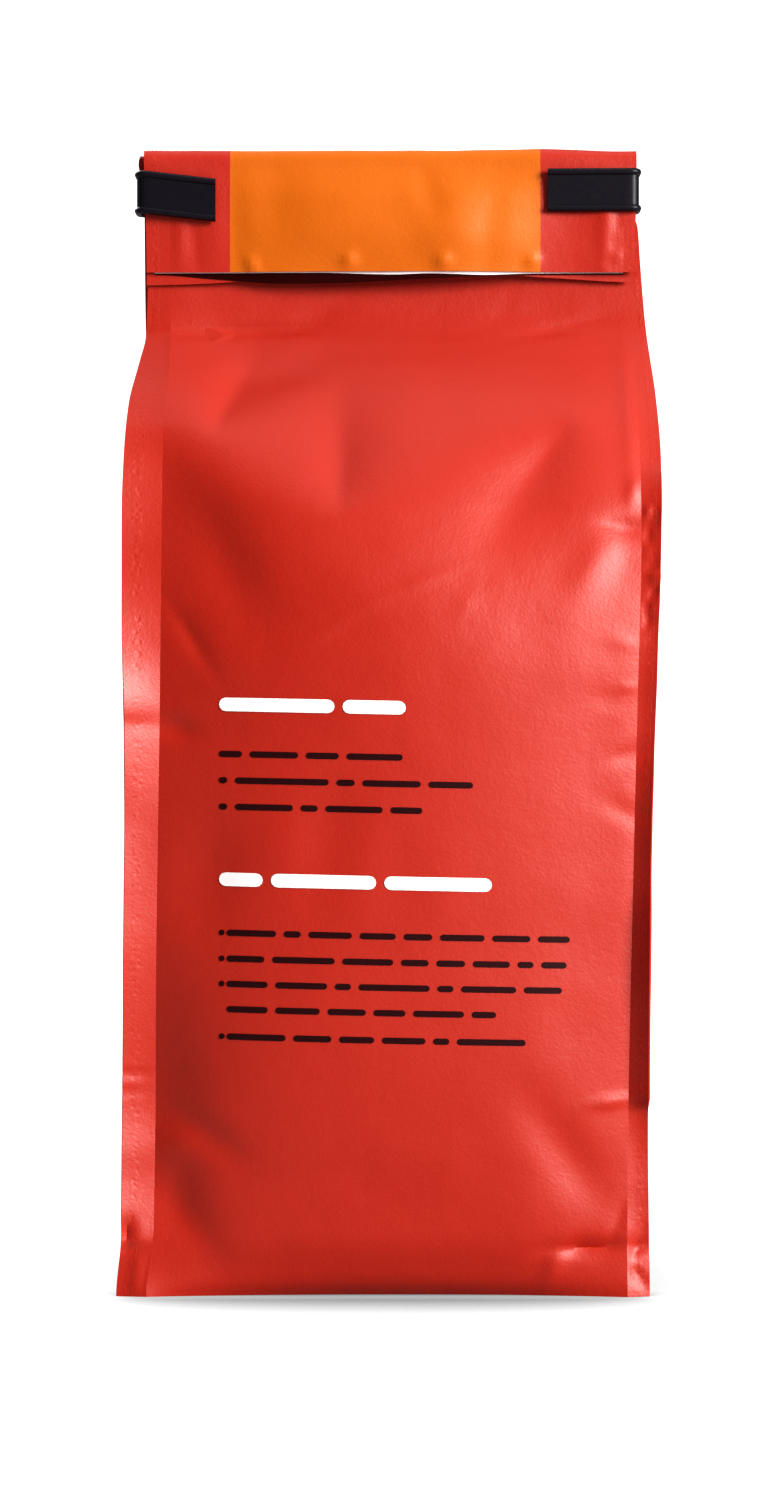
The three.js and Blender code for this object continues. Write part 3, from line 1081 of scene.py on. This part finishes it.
def add_node(tree: Tree, kind: str, inputs: dict[str | int, object] | None = None,
             **settings: object) -> Node:
    """Adds a node with its settings and links.

    Args:
        tree: The material's or world's node tree.
        kind: The node's type, without its first word, ShaderNode.
        inputs: What each input takes: a socket to link, or a value.
        settings: The node's own properties.

    Returns:
        The node.
    """
    node = tree.nodes.new("ShaderNode" + kind)
    for name, value in settings.items():
        setattr(node, name, value)
    for name, value in (inputs or {}).items():
        if isinstance(value, Socket):
            tree.links.new(value, node.inputs[name])
        else:
            node.inputs[name].default_value = value
    return node


def new_material(name: str) -> tuple[Material, Tree]:
    """Makes an empty node material.

    Args:
        name: Its name.

    Returns:
        The material and its node tree.
    """
    material = bpy.data.materials.new(name)
    material.use_nodes = True
    material.node_tree.nodes.clear()
    return material, material.node_tree


def noise(tree: Tree, place: Socket, size_mm: float, detail: float,
          roughness: float = 0.5) -> Socket:
    """Adds a noise whose blots are about size_mm large, and gives the socket with its height."""
    inputs = {"Vector": place, "Scale": 1.0 / (size_mm * MM), "Detail": detail,
              "Roughness": roughness}
    return add_node(tree, "TexNoise", inputs).outputs["Fac"]


def bump(tree: Tree, height: Socket, strength: float, deep_mm: float,
         under: Socket | None = None) -> Socket:
    """Adds a bump.

    Args:
        tree: The node tree.
        height: The socket with its height.
        strength: How much of it is taken.
        deep_mm: How deep it is.
        under: The socket with the bump that it lies on.

    Returns:
        The socket with its normal.
    """
    inputs = {"Height": height, "Strength": strength, "Distance": deep_mm * MM}
    if under is not None:
        inputs["Normal"] = under
    return add_node(tree, "Bump", inputs).outputs["Normal"]


def rescale(tree: Tree, value: Socket, source: Sequence[float | Socket],
            result: Sequence[float | Socket]) -> Socket:
    """Turns values between the two sources to values between the two results."""
    ends = dict(zip(("From Min", "From Max", "To Min", "To Max"), (*source, *result)))
    return add_node(tree, "MapRange", {"Value": value, **ends}).outputs[0]


def finish_with(tree: Tree, shader: Node) -> None:
    """Links a shader to the material's output."""
    add_node(tree, "OutputMaterial", {"Surface": shader.outputs[0]})


@dataclass(frozen=True)
class LaminateFinish:
    """Matte plastic film laminated over foil and printed: a satin skin with a soft broad sheen.

    A bump's two numbers are its strength and its depth in millimetres. The seal's rows count from
    0 at a fin's root to 1 at its tip.
    """

    name: str
    colour: str
    thin: str
    specular: float = 0.72
    ior: float = 1.5
    roughness: float = 0.47
    roughness_half: float = 0.05
    blotch_mm: float = 26.0
    grain_mm: float = 0.55
    grain_bump: Pair = (0.85, 0.05)
    crinkle_mm: float = 7.0
    crinkle_bump: Pair = (0.5, 0.25)
    seal_mm: float = 1.3
    seal_row: float = 0.62
    seal_half: float = 0.14
    seal_rim: Pair = (0.15, 0.5)
    seal_bump: Pair = (0.5, 0.07)

    def embossing(self, tree: Tree, place: Socket) -> Socket:
        """Makes the dimples that the sealing jaws leave in a band along each fin.

        Args:
            tree: The node tree.
            place: The socket with the piece's own coordinates.

        Returns:
            The socket with their height.
        """
        row = add_node(tree, "Attribute", attribute_name="seal").outputs["Fac"]
        inputs = {0: row, 1: self.seal_row, 2: self.seal_half}
        band = add_node(tree, "Math", inputs, operation="COMPARE")
        inputs = {"Vector": place, "Scale": 1.0 / (self.seal_mm * MM)}
        specks = add_node(tree, "TexVoronoi", inputs, feature="F1")
        dimple = rescale(tree, specks.outputs["Distance"], self.seal_rim, (0.0, 1.0))
        inputs = {0: dimple, 1: band.outputs[0]}
        return add_node(tree, "Math", inputs, operation="MULTIPLY").outputs[0]

    def make(self) -> Material:
        """Builds the material.

        Returns:
            The material.
        """
        material, tree = new_material(self.name)
        place = add_node(tree, "TexCoord").outputs["Object"]
        blotch = noise(tree, place, self.blotch_mm, 3.0, 0.6)
        inputs = {"Factor": blotch, "A": linear(self.colour), "B": linear(self.thin)}
        tone = add_node(tree, "Mix", inputs, data_type="RGBA")
        grain = bump(tree, noise(tree, place, self.grain_mm, 2.0), *self.grain_bump)
        crinkle = noise(tree, place, self.crinkle_mm, 4.0, 0.55)
        crinkled = bump(tree, crinkle, *self.crinkle_bump, under=grain)
        sealed = bump(tree, self.embossing(tree, place), *self.seal_bump, under=crinkled)
        worn = self.roughness - self.roughness_half, self.roughness + self.roughness_half
        finish_with(tree, add_node(tree, "BsdfPrincipled", {
            "Base Color": tone.outputs["Result"],
            "Roughness": rescale(tree, blotch, (0.0, 1.0), worn),
            "IOR": self.ior,
            "Specular IOR Level": self.specular,
            "Normal": sealed,
        }))
        return material


@dataclass(frozen=True)
class PlainFinish:
    """A finish of one colour with a fine grain: ink, bare foil with painted sheen, a lining painted
    dark as shadow, or extruded plastic.
    """

    name: str
    colour: str
    roughness: float
    metallic: float = 0.0
    specular: float = 0.5
    roughness_half: float = 0.06
    grain_mm: float = 0.4
    grain_bump: Pair = (0.6, 0.01)

    def make(self) -> Material:
        """Builds the material.

        Returns:
            The material.
        """
        material, tree = new_material(self.name)
        place = add_node(tree, "TexCoord").outputs["Object"]
        grain = noise(tree, place, self.grain_mm, 3.0)
        worn = self.roughness - self.roughness_half, self.roughness + self.roughness_half
        finish_with(tree, add_node(tree, "BsdfPrincipled", {
            "Base Color": linear(self.colour),
            "Metallic": self.metallic,
            "Roughness": rescale(tree, grain, (0.0, 1.0), worn),
            "Specular IOR Level": self.specular,
            "Normal": bump(tree, grain, *self.grain_bump),
        }))
        return material


# Matte polypropylene laminate, reverse printed in red
RED_FILM = LaminateFinish("matte_laminate_red", "#ae2205", "#b62808")
# The same film where its print is orange
ORANGE_FILM = LaminateFinish("matte_laminate_orange", "#c26605", "#cc6d09", specular=0.45)
# The laminate's bare cut edge of vacuum-coated aluminium, drawn near white and barely metallic: its
# bright line is partly painted sheen
FOIL_EDGE_PAINTED_SHEEN = PlainFinish("metallised_foil_edge_painted_sheen", "#f4eeee", 0.36, metallic=0.15)
# A lining of vacuum-coated aluminium seen in the mouth, coloured near black as painted shadow
# beneath the flap's edge
LINING_PAINTED_SHADOW = PlainFinish("metallised_lining_painted_shadow", "#4a1614", 0.45, metallic=0.8, specular=0.2)
# Opaque white ink, dried flat
WHITE_INK = PlainFinish("white_ink", "#f4f0ee", 0.5, specular=0.3, grain_bump=(0.6, 0.001))
# Near-black ink, printed over the red
DARK_INK = PlainFinish("dark_ink", "#330c10", 0.5, specular=0.2, grain_bump=(0.6, 0.001))
# Extruded polyethylene over wire, smooth with a soft gloss
BLACK_PLASTIC = PlainFinish("extruded_black_polyethylene", "#100c18", 0.42, specular=0.4,
                            grain_mm=0.8)


# The studio


@dataclass(frozen=True)
class Lamp:
    """A soft rectangular light: its place, width and height in metres, and its power in watts."""

    name: str
    place: tuple[float, float, float]
    size: Pair
    power: float


@dataclass
class Studio:
    """A pale floor in a white surround, three soft lights and the photograph's camera.

    The shift goes from the bag's own frame to the model's, in metres.
    Only the camera sees how bright the floor and surround are. What they send back to the bag is
    held down, as a photographer does with black cards beside the set. The floor's glow carries a
    painted contact shadow, drawn from its ambient occlusion: full at the first of shadow_y, in
    front of the bag, and gone at the second, under it. Its darkest spots see no more than
    shadow_sky of what is above them.
    """

    shift: Vector
    floor_half: float = 1.1
    floor_seen: float = 1.0
    floor_sent: str = "#a8a8a8"
    shadow_reach: float = 0.05
    shadow_dark: float = 0.03
    shadow_y: Pair = (-0.038, -0.022)
    shadow_sky: Pair = (0.36, -0.3)
    surround_seen: float = 1.0
    surround_sent: Pair = (0.17, 0.21)
    target: tuple[float, float, float] = (0.0, 0.0, 0.11)
    lamps: tuple[Lamp, ...] = (
        Lamp("key_right", (1.27, -1.1, 0.72), (0.9, 0.8), 41.5),
        Lamp("back_left", (-0.9, 1.3, 1.2), (1.4, 1.2), 30.0),
        Lamp("top_soft", (0.1, -0.1, 1.6), (1.4, 1.2), 5.0),
    )

    def paper(self) -> Material:
        """Makes the floor's matte white paper, glowing to the camera with a painted soft shadow
        where the bag stands on it.

        Returns:
            The material.
        """
        material, tree = new_material("pale_paper_painted_shadow")
        seen = add_node(tree, "LightPath").outputs["Is Camera Ray"]
        matte = add_node(tree, "BsdfDiffuse", {"Color": linear(self.floor_sent)})
        place = add_node(tree, "TexCoord").outputs["Object"]
        forward = add_node(tree, "SeparateXYZ", {"Vector": place}).outputs["Y"]
        # Painted contact shadow: the floor's ambient occlusion darkens its glow, most in front of
        # the bag
        darkest = rescale(tree, forward, self.shadow_y, self.shadow_sky)
        sky = add_node(tree, "AmbientOcclusion", {"Distance": self.shadow_reach}).outputs["AO"]
        shade = rescale(tree, sky, (darkest, 1.0), (self.shadow_dark, self.floor_seen))
        glow = add_node(tree, "Emission", {"Strength": shade})
        inputs = {0: seen, 1: matte.outputs[0], 2: glow.outputs[0]}
        finish_with(tree, add_node(tree, "MixShader", inputs))
        return material

    def floor(self) -> Object:
        """Makes the floor.

        Returns:
            The floor.
        """
        bm = bmesh.new()
        bmesh.ops.create_grid(bm, x_segments=2, y_segments=2, size=self.floor_half)
        mesh = bpy.data.meshes.new("floor")
        bm.to_mesh(mesh)
        bm.free()
        mesh.materials.append(self.paper())
        return put("floor", mesh)

    def light(self, lamp: Lamp) -> None:
        """Adds a light that points at the bag.

        Args:
            lamp: What it is like.
        """
        data = bpy.data.lights.new(lamp.name, "AREA")
        data.shape = "RECTANGLE"
        data.size, data.size_y = lamp.size
        data.energy = lamp.power
        light = put(lamp.name, data)
        light.location = lamp.place
        aim = Vector(self.target) - Vector(lamp.place)
        light.rotation_euler = aim.to_track_quat("-Z", "Y").to_euler()

    def world(self) -> None:
        """Sets a white surround that lights the bag dimly, most from the right."""
        world = bpy.data.worlds.new("studio")
        world.use_nodes = True
        tree = world.node_tree
        tree.nodes.clear()
        place = add_node(tree, "TexCoord").outputs["Generated"]
        sideways = add_node(tree, "SeparateXYZ", {"Vector": place}).outputs["X"]
        sent = rescale(tree, sideways, (-1.0, 1.0), self.surround_sent)
        seen = add_node(tree, "LightPath").outputs["Is Camera Ray"]
        strength = rescale(tree, seen, (0.0, 1.0), (sent, self.surround_seen))
        inputs = {"Color": linear("#ffffff"), "Strength": strength}
        glow = add_node(tree, "Background", inputs)
        add_node(tree, "OutputWorld", {"Surface": glow.outputs[0]})
        bpy.context.scene.world = world
        bpy.context.scene.view_settings.view_transform = "Standard"
        bpy.context.scene.view_settings.look = "High Contrast"

    def camera(self) -> None:
        """Sets the photograph's camera, in the model's frame."""
        data = bpy.data.cameras.new("camera")
        data.lens = LENS
        data.sensor_width = SENSOR_WIDTH
        data.clip_end = CLIP_END
        camera = put("camera", data)
        camera.location = Vector((0.0, -VIEW_DISTANCE * MM, VIEW_HEIGHT * MM)) + self.shift
        camera.rotation_euler = (math.pi / 2.0, 0.0, 0.0)
        bpy.context.scene.camera = camera

    def build(self) -> None:
        """Sets the stage, the lights, the surround and the camera."""
        self.floor()
        for lamp in self.lamps:
            self.light(lamp)
        self.world()
        self.camera()


def dress(piece: Object, finishes: Sequence[Material]) -> None:
    """Gives a piece its materials and body.

    Args:
        piece: The piece.
        finishes: Its materials, in the order of its faces' numbers.
    """
    for finish in finishes:
        piece.data.materials.append(finish)
    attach(piece, BODY)
    LOG.info("%s: %d faces", piece.name, len(piece.data.polygons))


def main() -> None:
    """Builds the bag, its print and its tie, dresses them and sets the studio."""
    logging.basicConfig(level=logging.INFO)
    pouch = Pouch()
    film = pouch.build()
    inner, lining, foil = FlapEdge().build()
    headings, lines = PanelPrint(pouch).build()
    tie = TinTie().build()

    drawn = np.array([vert.co for vert in film.data.vertices])
    low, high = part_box("bag")
    middle = (drawn.min(axis=0) + drawn.max(axis=0)) / 2.0
    shift = Vector(((low.x + high.x) / 2.0 - middle[0], (low.y + high.y) / 2.0 - middle[1], 0.0))
    for piece in (film, inner, lining, foil, headings, lines, tie):
        piece.data.transform(Matrix.Translation(shift))

    red = RED_FILM.make()
    dress(film, [red, ORANGE_FILM.make()])
    dress(inner, [red])
    dress(lining, [LINING_PAINTED_SHADOW.make()])
    dress(foil, [FOIL_EDGE_PAINTED_SHEEN.make()])
    dress(headings, [WHITE_INK.make()])
    dress(lines, [DARK_INK.make()])
    dress(tie, [BLACK_PLASTIC.make()])
    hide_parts("bag")
    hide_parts("tin_tie")

    Studio(shift).build()


if __name__ == "__main__":
    main()
